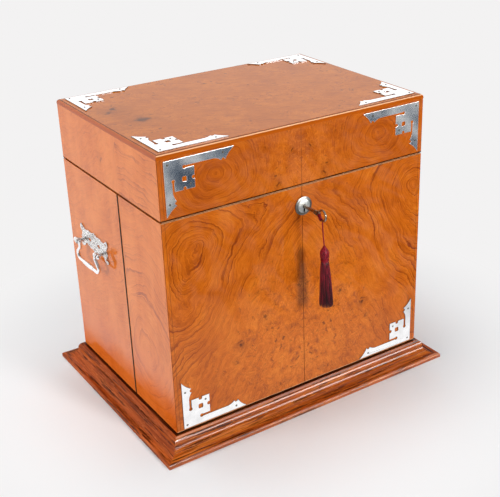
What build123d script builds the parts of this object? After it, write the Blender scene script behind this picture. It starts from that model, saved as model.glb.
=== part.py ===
from build123d import *
from math import atan2, cos, degrees, radians, sin, sqrt, tan
import os

# A tantalus: an oak decanter box with a hinged lid and two deep front doors that hold the glasses.
# Millimetres. The origin is the middle of the plinth's underside, X to the right, front toward -Y, Z up.

os.makedirs("parts", exist_ok=True)

# Case, lid and plinth
body_width = 400
body_depth = 284
body_height = 295
lid_height = 82
board = 10
lid_board = 6
lid_edge_radius = 4.5
arris = 1.2
lid_clearance = 0.1
shadow_line = 1.6
shadow_depth = 3
plinth_height = 26
plinth_projection = 28
plinth_width_under_case = 12
foot_gap = 2
foot_inset = 3

# Plinth moulding, from the ledge outward: a steep shoulder, a cove and a thin rounded edge
ledge_width = 3.5
shoulder_width = 5
shoulder_drop = 10
shoulder_bow = 1.7
cove_bow = 4.2
edge_top = 6
edge_width = 3
edge_height = 3.5
edge_bow = 0.9

# Doors and their continuous hinges
door_side_depth = 115
meeting_gap = 0.5
door_top_clearance = 0.3
door_foot_clearance = 0.3
strip_leaf_thickness = 1.0
strip_leaf_width = 7.8
strip_barrel_radius = 2.0
strip_barrel_inset = 1.2
strip_knuckles = 13
strip_end_margin = 2
strip_pin_radius = 0.9
door_floor_thickness = 8
tray_thickness = 12
tray_level = 118
tray_back_clearance = 2
tray_edge_clearance = 0.5

# Butt hinges of the lid
butt_length = 50
butt_spread = 236
butt_leaf_thickness = 1.5
butt_leaf_width = 11
butt_barrel_radius = 2.4
butt_barrel_outset = 2.2
butt_knuckles = 5
butt_pin_radius = 1.0

# Running fits
pin_clearance = 0.05
barrel_relief = 0.3
knuckle_gap = 0.2
leaf_gap = 0.2

# Corner mounts: a long and a short arm with strapwork in the angle
mount_thickness = 1.2
mount_margin = 8.5
door_mount_side_margin = 10
door_mount_foot_margin = 1.9
long_arm = 94
short_arm = 69
arm_width = 10
shoulder_height = 14
shoulder_back = 28
notch_back = 15.3
notch_radius = 2.2
strap_start = 12.6
strap_end = 39.5
slot_end = 26.5
strap_notch_inset = 1.5
hole_lobe = 1.9
hole_offset = 1.7
tip_width = 0.8
mount_cusp = 1
tip_bow = 1.2
shoulder_sweep = 0.7
mount_pin_radius = 0.8
mount_pin_inset = 5
strap_pin = 33.5
mount_pin_head_radius = 1.5
mount_pin_head_height = 0.6
mount_pin_length = 4.5

# Lock, key and hook
lock_offset = 1.9
lock_below_rim = 29
nozzle_radius = 12.5
nozzle_dome = 2.6
nozzle_rim = 1.0
nozzle_bow = 0.5
nozzle_gap = 0.35
keyhole_radius = 2.2
keyhole_slot_width = 2.2
keyhole_slot_length = 8.6
key_shank_clearance = 0.1
key_reach = 41
key_tail = 10
key_bow_radius = 7
key_wire_radius = 1.4
key_bit_length = 8
key_bit_thickness = 1.6
key_bit_width = 4
key_collar_radius = 3.3
lock_case_start = 0.6
lock_case_width = 50
lock_case_height = 43
lock_case_depth = 13
lock_case_wall = 2
lock_case_top_gap = 1.5
hook_pivot_offset = 24
hook_pivot_below_rim = 10
hook_inner_radius = 14
hook_outer_radius = 19
hook_hub_radius = 4
hook_pin_radius = 1.5
hook_thickness = 5
hook_lead_angle = 25
hook_trail_angle = -70
hook_spoke_inset = 8
hook_tail_length = 22
hook_tail_angle = -137
hook_side_clearance = 0.5
strike_thickness = 1.6
strike_width = 12
strike_height = 15
strike_clearance = 1.2

# Tassel and its cord
cord_diameter = 1.6
cord_drop = 33
cord_lean = 2.6
cord_top_lean = 0.4
tassel_lean = 2
tassel_knot_radius = 2.2
tassel_knot_length = 3
tassel_head_radius = 6.4
tassel_head_length = 16
tassel_head_lift = 1
tassel_neck_radius = 5.4
tassel_skirt_top_radius = 6.2
tassel_skirt_radius = 9.4
tassel_skirt_length = 67
tassel_bow = 0.6

# Side handles
handle_from_front = 203
handle_level = 217
handle_plate_thickness = 1.6
handle_axis_outset = 12.5
handle_post_spread = 60
handle_post_radius = 2.6
handle_eye_radius = 4
handle_pin_radius = 1.45
handle_eye_width = 6
bail_radius = 2.3
bail_bend_radius = 5
bail_drop = 26
bail_half_width = 35
bail_grip_radius = 3.3
bail_grip_length = 30
bail_knob_radius = 3.2
bail_side_play = 0.4
plate_slot_x = 14
plate_slot_rise = 4
plate_slot_half_length = 4.5
plate_slot_half_height = 2.4
plate_hole_radius = 1.7
plate_wing_hole_x = 37
plate_wing_hole_rise = 14.5
plate_wing_hole_drop = 7.5
plate_middle_hole_rise = 12.5
plate_middle_hole_drop = 6

# Decanters and their stoppers
decanter_gap = 28
decanter_end_gap = 21
decanter_chamfer = 9
decanter_shoulder_bow = 5
decanter_body_height = 160
decanter_shoulder_height = 36
decanter_neck_height = 50
decanter_neck_radius = 17
decanter_lip_radius = 23
decanter_lip_height = 6
decanter_wall = 6
decanter_base = 10
decanter_bore_radius = 11
stopper_plug_length = 24
stopper_clearance = 0.08
stopper_collar_radius = 13.5
stopper_collar_height = 4
stopper_head_radius = 21
stopper_head_height = 32
stopper_flats = 10

# Fittings that hold the decanters
platform_height = 16
well_depth = 6
well_clearance = 1
rail_level = 130
rail_thickness = 10
rail_setback = 6
fitting_clearance = 0.1

# Tumblers in the doors
tumbler_gap = 4
tumbler_end_gap = 3.625
tumbler_taper = 4
tumbler_height = 84
tumbler_wall = 2.2
tumbler_base = 9
pocket_depth = 8
pocket_clearance = 0.8

# Lid lining
lining_thickness = 6
lining_clearance = 0.6
lining_edge_radius = 2.5

# Places that follow from the sizes
half_width = body_width / 2
half_depth = body_depth / 2
front = -half_depth
back = half_depth
inner_x = half_width - board
inner_front = front + board
inner_back = back - board
foot = plinth_height + foot_gap
door_foot = foot + door_foot_clearance
rim = plinth_height + body_height
lid_foot = rim + lid_clearance
lid_top_level = rim + lid_height
lid_ceiling = lid_top_level - lid_board
seam = front + door_side_depth
seam_gap = 2 * strip_leaf_thickness + leaf_gap
door_end = seam - seam_gap / 2
case_start = seam + seam_gap / 2
meeting = meeting_gap / 2
lock_level = rim - lock_below_rim


def save(part, name):
    """Label a finished piece and write its file."""
    part.label = name
    export_step(part, f"parts/{name}.step")


def save_pair(part, name):
    """Save a left-hand piece and its mirror image for the right."""
    with BuildPart() as twin:
        mirror(part, about=Plane.YZ)
    save(part, f"left_{name}")
    save(twin.part, f"right_{name}")


def block(x, y, z, mode=Mode.ADD):
    """A box from three pairs of low and high limits."""
    with Locations(((x[0] + x[1]) / 2, (y[0] + y[1]) / 2, (z[0] + z[1]) / 2)):
        Box(x[1] - x[0], y[1] - y[0], z[1] - z[0], mode=mode)


def wall_plan(outward):
    """Plan of one of the four mitred boards around the body, the one that faces outward."""
    across = (body_width if outward[0] == 0 else body_depth) / 2
    reach = half_depth if outward[0] == 0 else half_width
    turn = degrees(atan2(outward[1], outward[0]))
    with BuildSketch() as plan:
        RectangleRounded(body_width, body_depth, arris)
        Rectangle(2 * inner_x, body_depth - 2 * board, mode=Mode.SUBTRACT)
        Polygon(
            (reach, -across),
            (reach, across),
            (reach - board, across - board),
            (reach - board, board - across),
            rotation=turn,
            align=None,
            mode=Mode.INTERSECT,
        )
    return plan.sketch


def hinge_leaf(plane, length, leaf, barrel_radius, pin_radius, knuckles, has_pin):
    """One leaf of a hinge: the plane's X runs along the barrel, Y along the leaf, Z toward the wood."""
    width, thickness, near = leaf
    pitch = length / knuckles
    own = range(0, knuckles, 2) if has_pin else range(1, knuckles, 2)
    places = [(index - (knuckles - 1) / 2) * pitch for index in own]
    knuckle = pitch - knuckle_gap
    with BuildPart(plane) as half:
        with Locations((0, (near + width) / 2, leaf_gap / 2 + thickness / 2)):
            Box(length, width - near, thickness)
        with Locations(*[(place, near / 2, leaf_gap / 2 + thickness / 2) for place in places]):
            Box(knuckle, near + 0.2, thickness)
        with Locations(*[(place, 0, 0) for place in places]):
            Cylinder(barrel_radius, knuckle, rotation=(0, 90, 0))
        if has_pin:
            Cylinder(pin_radius, length, rotation=(0, 90, 0))
        else:
            Cylinder(pin_radius + pin_clearance, length, rotation=(0, 90, 0), mode=Mode.SUBTRACT)
    return half.part


# Plinth
ledge_end = (ledge_width, plinth_height)
shoulder_foot = (ledge_width + shoulder_width, plinth_height - shoulder_drop)
cove_end = (plinth_projection - edge_width, edge_top)
edge_foot = (plinth_projection, edge_height)


def plinth_rail(outward, face, half_span):
    """One mitred rail of the plinth, along the body's face that lies at the given distance."""
    direction = Vector(*outward, 0)
    section = Plane(origin=direction * face, x_dir=direction, z_dir=direction.cross(Vector(0, 0, 1)))
    near = face - plinth_width_under_case
    far = face + plinth_projection
    near_span = half_span - plinth_width_under_case
    far_span = half_span + plinth_projection
    with BuildPart() as rail:
        with BuildSketch(section):
            with BuildLine():
                SagittaArc(ledge_end, shoulder_foot, shoulder_bow)
                SagittaArc(shoulder_foot, cove_end, -cove_bow)
                SagittaArc(cove_end, edge_foot, edge_bow)
                Polyline(
                    edge_foot,
                    (plinth_projection, 0),
                    (-plinth_width_under_case, 0),
                    (-plinth_width_under_case, plinth_height),
                    ledge_end,
                )
            make_face()
        extrude(amount=far_span, both=True)
        with BuildSketch():
            Polygon(
                (near, -near_span),
                (far, -far_span),
                (far, far_span),
                (near, near_span),
                rotation=degrees(atan2(outward[1], outward[0])),
                align=None,
            )
        extrude(amount=plinth_height, mode=Mode.INTERSECT)
    return rail.part


save(plinth_rail((0, -1), half_depth, half_width), "plinth_front")
save(plinth_rail((0, 1), half_depth, half_width), "plinth_back")
save(plinth_rail((-1, 0), half_width, half_depth), "plinth_left")
save(plinth_rail((1, 0), half_width, half_depth), "plinth_right")

# Base board: fills the plinth and carries the case on a lip that leaves a dark gap all round
board_half_width = half_width - plinth_width_under_case
board_half_depth = half_depth - plinth_width_under_case
with BuildPart() as base_board:
    block((-board_half_width, board_half_width), (-board_half_depth, board_half_depth), (0, plinth_height))
    block(
        (-half_width + foot_inset, half_width - foot_inset),
        (-half_depth + foot_inset, half_depth - foot_inset),
        (plinth_height, foot),
    )
save(base_board.part, "base_board")

# Groove under the lid, cut into the top outer edge of every board of the case and the doors
with BuildPart() as shadow_ring:
    with BuildSketch(Plane.XY.offset(rim - shadow_line)):
        Rectangle(body_width + 2 * board, body_depth + 2 * board)
        Rectangle(body_width - 2 * shadow_depth, body_depth - 2 * shadow_depth, mode=Mode.SUBTRACT)
    extrude(amount=shadow_line + board)

# Relief for the barrel of the left door's hinge
strip_axis_x = -half_width + strip_barrel_inset
with BuildPart() as strip_relief:
    with BuildSketch(Plane.XY.offset(foot - board)):
        with Locations((strip_axis_x, seam)):
            Circle(strip_barrel_radius + barrel_relief)
    extrude(amount=body_height + 2 * board)

# Case sides, from the seam to the back
with BuildPart() as case_side:
    with BuildSketch(Plane.XY.offset(foot)):
        add(wall_plan((-1, 0)))
    extrude(amount=rim - foot)
    block((-body_width, 0), (front - board, case_start), (0, lid_top_level), mode=Mode.SUBTRACT)
    add(shadow_ring.part, mode=Mode.SUBTRACT)
    add(strip_relief.part, mode=Mode.SUBTRACT)
with BuildPart() as case_right_side:
    mirror(case_side.part, about=Plane.YZ)
save(case_side.part, "case_left_side")
save(case_right_side.part, "case_right_side")

# Butt hinges of the lid: the barrel stands behind the back, the leaves are let into the edges
butt_axis_y = back + butt_barrel_outset
butt_axis_z = rim + lid_clearance / 2
butt_leaf = (butt_leaf_width, butt_leaf_thickness, butt_barrel_radius + barrel_relief)
butt_places = (-butt_spread / 2, butt_spread / 2)
case_leaves = [
    hinge_leaf(
        Plane(origin=(place, butt_axis_y, butt_axis_z), x_dir=(1, 0, 0), z_dir=(0, 0, -1)),
        butt_length, butt_leaf, butt_barrel_radius, butt_pin_radius, butt_knuckles, True,
    )
    for place in butt_places
]
lid_leaves = [
    hinge_leaf(
        Plane(origin=(place, butt_axis_y, butt_axis_z), x_dir=(-1, 0, 0), z_dir=(0, 0, 1)),
        butt_length, butt_leaf, butt_barrel_radius, butt_pin_radius, butt_knuckles, False,
    )
    for place in butt_places
]
with BuildPart() as lid_hinge_case_leaves:
    add(case_leaves)
save(lid_hinge_case_leaves.part, "lid_hinge_case_leaves")
with BuildPart() as lid_hinge_lid_leaves:
    add(lid_leaves)
save(lid_hinge_lid_leaves.part, "lid_hinge_lid_leaves")

# Room in the back boards for the leaves and barrels
leaf_reach = leaf_gap / 2 + butt_leaf_thickness
with BuildPart() as butt_room:
    for place in butt_places:
        block(
            (place - butt_length / 2, place + butt_length / 2),
            (butt_axis_y - butt_leaf_width, back + board),
            (butt_axis_z - leaf_reach, butt_axis_z + leaf_reach),
        )
        with Locations((place, butt_axis_y, butt_axis_z)):
            Cylinder(butt_barrel_radius + barrel_relief, butt_length, rotation=(0, 90, 0))

with BuildPart() as case_back:
    with BuildSketch(Plane.XY.offset(foot)):
        add(wall_plan((0, 1)))
    extrude(amount=rim - foot)
    add(shadow_ring.part, mode=Mode.SUBTRACT)
    add(butt_room.part, mode=Mode.SUBTRACT)
save(case_back.part, "case_back")

# Continuous hinges of the doors
strip_length = rim - shadow_line - foot - 2 * strip_end_margin
strip_middle = (rim - shadow_line + foot) / 2
strip_leaf = (strip_leaf_width, strip_leaf_thickness, strip_barrel_radius + barrel_relief)
strip_case_leaf = hinge_leaf(
    Plane(origin=(strip_axis_x, seam, strip_middle), x_dir=(0, 0, 1), z_dir=(0, 1, 0)),
    strip_length, strip_leaf, strip_barrel_radius, strip_pin_radius, strip_knuckles, True,
)
strip_door_leaf = hinge_leaf(
    Plane(origin=(strip_axis_x, seam, strip_middle), x_dir=(0, 0, -1), z_dir=(0, -1, 0)),
    strip_length, strip_leaf, strip_barrel_radius, strip_pin_radius, strip_knuckles, False,
)
save_pair(strip_case_leaf, "hinge_case_leaf")
save_pair(strip_door_leaf, "hinge_door_leaf")


# Corner mounts
def arm_head(length):
    """Cusped end of an arm that runs along X, with its notch."""
    start = length - shoulder_back
    inner = length - notch_back - notch_radius - mount_cusp
    outer = length - notch_back + notch_radius + mount_cusp
    with BuildSketch() as head:
        with BuildLine():
            Polyline((start, arm_width), (start, 0), (length, 0), (length, tip_width))
            SagittaArc((length, tip_width), (outer, shoulder_height), tip_bow)
            Line((outer, shoulder_height), (inner, shoulder_height))
            SagittaArc((inner, shoulder_height), (start, arm_width), shoulder_sweep)
        make_face()
        with Locations((length - notch_back, shoulder_height)):
            Circle(notch_radius, mode=Mode.SUBTRACT)
    return head.sketch


def mount_spots(hand):
    """Where the four pins of a mount stand: in the angle, near both arm ends and in the strapwork."""
    spots = [
        (mount_pin_inset, mount_pin_inset),
        (long_arm - notch_back, mount_pin_inset),
        (mount_pin_inset, short_arm - notch_back),
        (strap_pin, strap_pin),
    ]
    return [(along, hand * across) for along, across in spots]


strap_middle = (strap_start + strap_end) / 2
strap_notch = strap_end - strap_notch_inset
slot_middle = (arm_width + strap_start) / 2
slot_length = strap_end - slot_end
with BuildSketch() as mount_shape:
    Rectangle(long_arm - shoulder_back, arm_width, align=Align.MIN)
    Rectangle(arm_width, short_arm - shoulder_back, align=Align.MIN)
    add(arm_head(long_arm))
    mirror(arm_head(short_arm), about=Plane(origin=(0, 0, 0), z_dir=(1, -1, 0)))
    Rectangle(strap_end, strap_end, align=Align.MIN)
    with Locations((slot_end, arm_width)):
        Rectangle(slot_length, strap_start - arm_width, align=Align.MIN, mode=Mode.SUBTRACT)
    with Locations((arm_width, slot_end)):
        Rectangle(strap_start - arm_width, slot_length, align=Align.MIN, mode=Mode.SUBTRACT)
    with Locations((slot_end, slot_middle), (slot_middle, slot_end)):
        Circle(notch_radius, mode=Mode.SUBTRACT)
    with Locations((strap_notch, strap_middle), (strap_middle, strap_notch)):
        Circle(notch_radius, mode=Mode.SUBTRACT)
    with Locations((strap_middle, strap_middle)):
        with PolarLocations(hole_offset, 4, start_angle=45):
            Circle(hole_lobe, mode=Mode.SUBTRACT)
    with Locations(*mount_spots(1)):
        Circle(mount_pin_radius, mode=Mode.SUBTRACT)


def corner_mount(plane, hand):
    """A mount on its face. The plane stands on its corner, X along the long arm, Z outward."""
    with BuildPart() as plate:
        with BuildSketch(plane):
            if hand > 0:
                add(mount_shape.sketch)
            else:
                mirror(mount_shape.sketch, about=Plane.XZ)
        extrude(amount=mount_thickness)
    return plate.part


def mount_pins(plane, hand, heads=True):
    """The pins of a mount, through the mount and into the wood."""
    with BuildPart(plane) as pins:
        with Locations(*[(*spot, -mount_pin_length) for spot in mount_spots(hand)]):
            Cylinder(
                mount_pin_radius,
                mount_pin_length + mount_thickness,
                align=(Align.CENTER, Align.CENTER, Align.MIN),
            )
        if heads:
            with Locations(*[(*spot, mount_thickness) for spot in mount_spots(hand)]):
                Cone(
                    mount_pin_head_radius,
                    mount_pin_radius,
                    mount_pin_head_height,
                    align=(Align.CENTER, Align.CENTER, Align.MIN),
                )
    return pins.part


# Each mount's plane and hand, left-hand ones only
door_mount = (
    Plane(
        origin=(-half_width + door_mount_side_margin, front, door_foot + door_mount_foot_margin),
        x_dir=(1, 0, 0),
        z_dir=(0, -1, 0),
    ),
    1,
)
lid_front_mount = (
    Plane(
        origin=(-half_width + mount_margin, front, lid_top_level - mount_margin),
        x_dir=(1, 0, 0),
        z_dir=(0, -1, 0),
    ),
    -1,
)
lid_top_mounts = [
    (
        Plane(
            origin=(-half_width + mount_margin, hand * (front + mount_margin), lid_top_level),
            x_dir=(1, 0, 0),
            z_dir=(0, 0, 1),
        ),
        hand,
    )
    for hand in (1, -1)
]

save_pair(corner_mount(*door_mount), "door_mount")
save_pair(mount_pins(*door_mount), "door_mount_pins")
for place, label in (([lid_front_mount], "lid_front_mounts"), (lid_top_mounts, "lid_top_mounts")):
    with BuildPart() as mounts:
        for plane, hand in place:
            add(corner_mount(plane, hand))
        mirror(about=Plane.YZ)
    save(mounts.part, label)
with BuildPart() as lid_mount_pins:
    for plane, hand in [lid_front_mount] + lid_top_mounts:
        add(mount_pins(plane, hand))
    mirror(about=Plane.YZ)
save(lid_mount_pins.part, "lid_mount_pins")

# Lid: a top board with a rounded edge on four mitred boards
with BuildPart() as lid_top:
    block((-half_width, half_width), (front, back), (lid_ceiling, lid_top_level))
    fillet(lid_top.faces().sort_by(Axis.Z)[-1].edges(), min(lid_edge_radius, lid_board - arris))
    for plane, hand in lid_top_mounts:
        shanks = mount_pins(plane, hand, heads=False)
        add(shanks, mode=Mode.SUBTRACT)
        mirror(shanks, about=Plane.YZ, mode=Mode.SUBTRACT)
save(lid_top.part, "lid_top")

with BuildPart() as lid_front:
    with BuildSketch(Plane.XY.offset(lid_foot)):
        add(wall_plan((0, -1)))
    extrude(amount=lid_ceiling - lid_foot)
    shanks = mount_pins(*lid_front_mount, heads=False)
    add(shanks, mode=Mode.SUBTRACT)
    mirror(shanks, about=Plane.YZ, mode=Mode.SUBTRACT)
save(lid_front.part, "lid_front")

with BuildPart() as lid_back:
    with BuildSketch(Plane.XY.offset(lid_foot)):
        add(wall_plan((0, 1)))
    extrude(amount=lid_ceiling - lid_foot)
    add(butt_room.part, mode=Mode.SUBTRACT)
save(lid_back.part, "lid_back")

with BuildPart() as lid_side:
    with BuildSketch(Plane.XY.offset(lid_foot)):
        add(wall_plan((-1, 0)))
    extrude(amount=lid_ceiling - lid_foot)
with BuildPart() as lid_right_side:
    mirror(lid_side.part, about=Plane.YZ)
save(lid_side.part, "lid_left_side")
save(lid_right_side.part, "lid_right_side")

# Padded lining under the lid's top
lining_x = inner_x - lining_clearance
lining_front = inner_front + lining_clearance
lining_back = inner_back - lining_clearance
with BuildPart() as lid_lining:
    block((-lining_x, lining_x), (lining_front, lining_back), (lid_ceiling - lining_thickness, lid_ceiling))
    fillet(lid_lining.faces().sort_by(Axis.Z)[0].edges(), lining_edge_radius)
save(lid_lining.part, "lid_lining")

# Lock nozzle, let into the meeting edges: the right door carries it, the left door is notched around it
lock_point = (lock_offset, front, lock_level)
lock_plane = Plane(origin=lock_point, x_dir=(1, 0, 0), z_dir=(0, -1, 0))
lock_section = Plane(origin=lock_point, x_dir=(1, 0, 0), z_dir=(0, 0, -1))
lock_axis = Axis(lock_point, (0, -1, 0))
with BuildPart() as lock_escutcheon:
    with BuildSketch(lock_section):
        with BuildLine():
            Polyline((0, nozzle_dome), (0, -board), (nozzle_radius, -board), (nozzle_radius, nozzle_rim))
            Line((nozzle_radius, nozzle_rim), (nozzle_radius - nozzle_rim, nozzle_rim * 1.4))
            SagittaArc((nozzle_radius - nozzle_rim, nozzle_rim * 1.4), (0, nozzle_dome), -nozzle_bow)
        make_face()
    revolve(axis=lock_axis)
    with BuildSketch(lock_plane.offset(-board)):
        Circle(keyhole_radius)
        with Locations((0, -keyhole_slot_length / 2)):
            Rectangle(keyhole_slot_width, keyhole_slot_length)
    extrude(amount=board + nozzle_dome + nozzle_rim, mode=Mode.SUBTRACT)
save(lock_escutcheon.part, "lock_escutcheon")

# Door fronts and door sides
with BuildPart() as door_front:
    with BuildSketch(Plane.XY.offset(door_foot)):
        add(wall_plan((0, -1)))
    extrude(amount=rim - door_top_clearance - door_foot)
    block((-meeting, body_width), (front - board, back), (0, lid_top_level), mode=Mode.SUBTRACT)
    add(shadow_ring.part, mode=Mode.SUBTRACT)
    add(mount_pins(*door_mount, heads=False), mode=Mode.SUBTRACT)
with BuildPart() as left_door_front:
    add(door_front.part)
    with BuildSketch(lock_plane.offset(-2 * board)):
        Circle(nozzle_radius + nozzle_gap)
    extrude(amount=3 * board, mode=Mode.SUBTRACT)
with BuildPart() as right_door_front:
    mirror(door_front.part, about=Plane.YZ)
    with BuildSketch(lock_plane.offset(-2 * board)):
        Circle(nozzle_radius)
    extrude(amount=3 * board, mode=Mode.SUBTRACT)
save(left_door_front.part, "left_door_front")
save(right_door_front.part, "right_door_front")

with BuildPart() as door_side:
    with BuildSketch(Plane.XY.offset(door_foot)):
        add(wall_plan((-1, 0)))
    extrude(amount=rim - door_top_clearance - door_foot)
    block((-body_width, 0), (door_end, back + board), (0, lid_top_level), mode=Mode.SUBTRACT)
    add(shadow_ring.part, mode=Mode.SUBTRACT)
    add(strip_relief.part, mode=Mode.SUBTRACT)
save_pair(door_side.part, "door_side")

# Floor and glass tray of each door
shelf_x = (-inner_x, -meeting - tray_edge_clearance)
shelf_y = (inner_front, door_end - tray_back_clearance)
with BuildPart() as door_floor:
    block(shelf_x, shelf_y, (door_foot, door_foot + door_floor_thickness))
save_pair(door_floor.part, "door_floor")

tumbler_y = (shelf_y[0] + shelf_y[1]) / 2
tumbler_room = shelf_x[1] - shelf_x[0] - 2 * tumbler_end_gap - 2 * tumbler_gap
tumbler_rim_radius = tumbler_room / 6
tumbler_foot_radius = tumbler_rim_radius - tumbler_taper
tumbler_pitch = 2 * tumbler_rim_radius + tumbler_gap
tumbler_x = [(shelf_x[0] + shelf_x[1]) / 2 + step * tumbler_pitch for step in (-1, 0, 1)]
tray_top = tray_level + tray_thickness
pocket_floor = tray_top - pocket_depth
flare = tumbler_taper / tumbler_height
pocket_radius = tumbler_foot_radius + flare * pocket_depth + pocket_clearance
with BuildPart() as glass_tray:
    block(shelf_x, shelf_y, (tray_level, tray_top))
    with BuildSketch(Plane.XY.offset(pocket_floor)):
        with Locations(*[(place, tumbler_y) for place in tumbler_x]):
            Circle(pocket_radius)
    extrude(amount=pocket_depth, mode=Mode.SUBTRACT)
save_pair(glass_tray.part, "glass_tray")

for place, label in zip(tumbler_x, ("outer_tumbler", "middle_tumbler", "inner_tumbler")):
    upright = Plane(origin=(place, tumbler_y, pocket_floor), x_dir=(1, 0, 0), z_dir=(0, -1, 0))
    with BuildPart() as tumbler:
        with BuildSketch(upright):
            Polygon(
                (0, 0),
                (tumbler_foot_radius, 0),
                (tumbler_rim_radius, tumbler_height),
                (tumbler_rim_radius - tumbler_wall, tumbler_height),
                (tumbler_foot_radius + flare * tumbler_base - tumbler_wall, tumbler_base),
                (0, tumbler_base),
                align=None,
            )
        revolve(axis=Axis(upright.origin, (0, 0, 1)))
    save_pair(tumbler.part, label)

# Lock case behind the right door's front
case_x = (lock_case_start, lock_case_start + lock_case_width)
case_y = (inner_front, inner_front + lock_case_depth)
case_z = (rim - lock_case_top_gap - lock_case_height, rim - lock_case_top_gap)
hook_y = (case_y[0] + case_y[1]) / 2
pivot_x = lock_offset + hook_pivot_offset
pivot_z = rim - hook_pivot_below_rim
hook_room = hook_thickness + 2 * hook_side_clearance
hook_plane = Plane(origin=(pivot_x, hook_y, pivot_z), x_dir=(1, 0, 0), z_dir=(0, -1, 0))
tail_room = hook_tail_length + strike_clearance
case_slot_rise = case_z[1] - pivot_z
slot_out = sqrt(hook_outer_radius**2 - (case_slot_rise - lock_case_wall) ** 2) + strike_clearance
slot_in = sqrt(hook_inner_radius**2 - case_slot_rise**2) - strike_clearance
with BuildPart() as lock_case:
    block(case_x, case_y, case_z)
    with BuildSketch(lock_plane.offset(-board - lock_case_wall)):
        Circle(key_bit_length + strike_clearance)
    extrude(amount=-(lock_case_depth - 2 * lock_case_wall), mode=Mode.SUBTRACT)
    with BuildSketch(lock_plane.offset(-board)):
        Circle(keyhole_radius)
        with Locations((0, -keyhole_slot_length / 2)):
            Rectangle(keyhole_slot_width, keyhole_slot_length)
    extrude(amount=-lock_case_wall, mode=Mode.SUBTRACT)
    block(
        (case_x[0] + lock_case_wall, case_x[1] - lock_case_wall / 2),
        (hook_y - hook_room / 2, hook_y + hook_room / 2),
        (pivot_z - tail_room, case_z[1] - lock_case_wall),
        mode=Mode.SUBTRACT,
    )
    block(
        (pivot_x + slot_in, pivot_x + slot_out),
        (hook_y - hook_room / 2, hook_y + hook_room / 2),
        (case_z[1] - lock_case_wall, rim),
        mode=Mode.SUBTRACT,
    )
    with BuildSketch(hook_plane.offset(hook_room)):
        Circle(hook_pin_radius)
    extrude(amount=-2 * hook_room, mode=Mode.ADD)
save(lock_case.part, "lock_case")

# Hook bolt: turned by the key, it swings up through the keeper and over its lip
hook_reach = 2 * hook_outer_radius
hook_corners = [
    (hook_reach * cos(radians(angle)), hook_reach * sin(radians(angle)))
    for angle in (hook_trail_angle, (hook_trail_angle + hook_lead_angle) / 2, hook_lead_angle)
]
with BuildPart() as lock_hook:
    with BuildSketch(hook_plane.offset(-hook_thickness / 2)):
        Circle(hook_outer_radius)
        Circle(hook_inner_radius, mode=Mode.SUBTRACT)
        Polygon((0, 0), *hook_corners, align=None, mode=Mode.INTERSECT)
        Circle(hook_hub_radius)
        with Locations(Location((0, 0, 0), (0, 0, hook_trail_angle + hook_spoke_inset))):
            Rectangle(
                (hook_inner_radius + hook_outer_radius) / 2,
                hook_hub_radius,
                align=(Align.MIN, Align.CENTER),
            )
        with Locations(Location((0, 0, 0), (0, 0, hook_tail_angle))):
            Rectangle(hook_tail_length, hook_hub_radius, align=(Align.MIN, Align.CENTER))
        Circle(hook_pin_radius + pin_clearance, mode=Mode.SUBTRACT)
    extrude(amount=hook_thickness)
save(lock_hook.part, "lock_hook")

# Keeper on the inside of the lid's front
strike_foot = lid_foot + leaf_gap
lip_rise = strike_foot + strike_thickness - pivot_z
lip_end = sqrt(hook_inner_radius**2 - lip_rise**2) - strike_clearance / 2
mouth_end = sqrt(hook_outer_radius**2 - (strike_foot - pivot_z) ** 2) + strike_clearance
with BuildPart() as lid_keeper:
    strike_x = (pivot_x - strike_width, pivot_x + mouth_end + strike_width / 2)
    block(strike_x, (inner_front, case_y[1]), (strike_foot, strike_foot + strike_thickness))
    block(strike_x, (inner_front, inner_front + strike_thickness), (strike_foot, strike_foot + strike_height))
    block(
        (pivot_x + lip_end, pivot_x + mouth_end),
        (hook_y - hook_room / 2, hook_y + hook_room / 2),
        (lid_foot, strike_foot + 2 * strike_thickness),
        mode=Mode.SUBTRACT,
    )
save(lid_keeper.part, "lid_keeper")

# Key in the lock
with BuildPart(lock_plane) as key:
    with Locations((0, 0, -board - key_tail)):
        Cylinder(
            keyhole_radius - key_shank_clearance,
            board + key_tail + key_reach - key_bow_radius,
            align=(Align.CENTER, Align.CENTER, Align.MIN),
        )
    with Locations((0, 0, key_reach)):
        Torus(key_bow_radius, key_wire_radius, rotation=(0, 90, 0))
    with Locations((0, -key_bit_length / 2, -board - lock_case_depth / 2)):
        Box(key_bit_thickness, key_bit_length, key_bit_width)
    with Locations((0, 0, key_reach - key_bow_radius - key_wire_radius - key_collar_radius / 2)):
        Cylinder(key_collar_radius, key_collar_radius / 2)
    with Locations((0, 0, key_reach - key_bow_radius - key_wire_radius - 2 * key_collar_radius)):
        Cylinder(keyhole_radius + key_wire_radius / 2, key_wire_radius)
save(key.part, "key")

# Tassel cord: it hangs from the bow and leans a little, as the photographed one does
bow_foot = lock_level - key_bow_radius - key_wire_radius
cord_points = [
    (lock_offset, front - key_reach, bow_foot),
    (lock_offset + cord_top_lean, front - key_reach, bow_foot - cord_drop / 2),
    (lock_offset + cord_lean, front - key_reach, bow_foot - cord_drop),
]
first_run = Vector(*cord_points[1]) - Vector(*cord_points[0])
second_run = Vector(*cord_points[2]) - Vector(*cord_points[1])
turn = first_run.get_angle(second_run)
cord_radius = 0.45 * min(first_run.length, second_run.length) / tan(radians(turn / 2))
print("tassel cord bend radius", round(cord_radius, 1))
with BuildPart() as tassel_cord:
    with BuildLine() as cord_path:
        FilletPolyline(*cord_points, radius=cord_radius)
    with BuildSketch(Plane(origin=cord_points[0], z_dir=first_run.normalized())):
        Circle(cord_diameter / 2)
    sweep()
cord_length = cord_path.wires()[0].length
print("tassel cord length", round(cord_length, 1))
save(tassel_cord.part, "tassel_cord")

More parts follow.
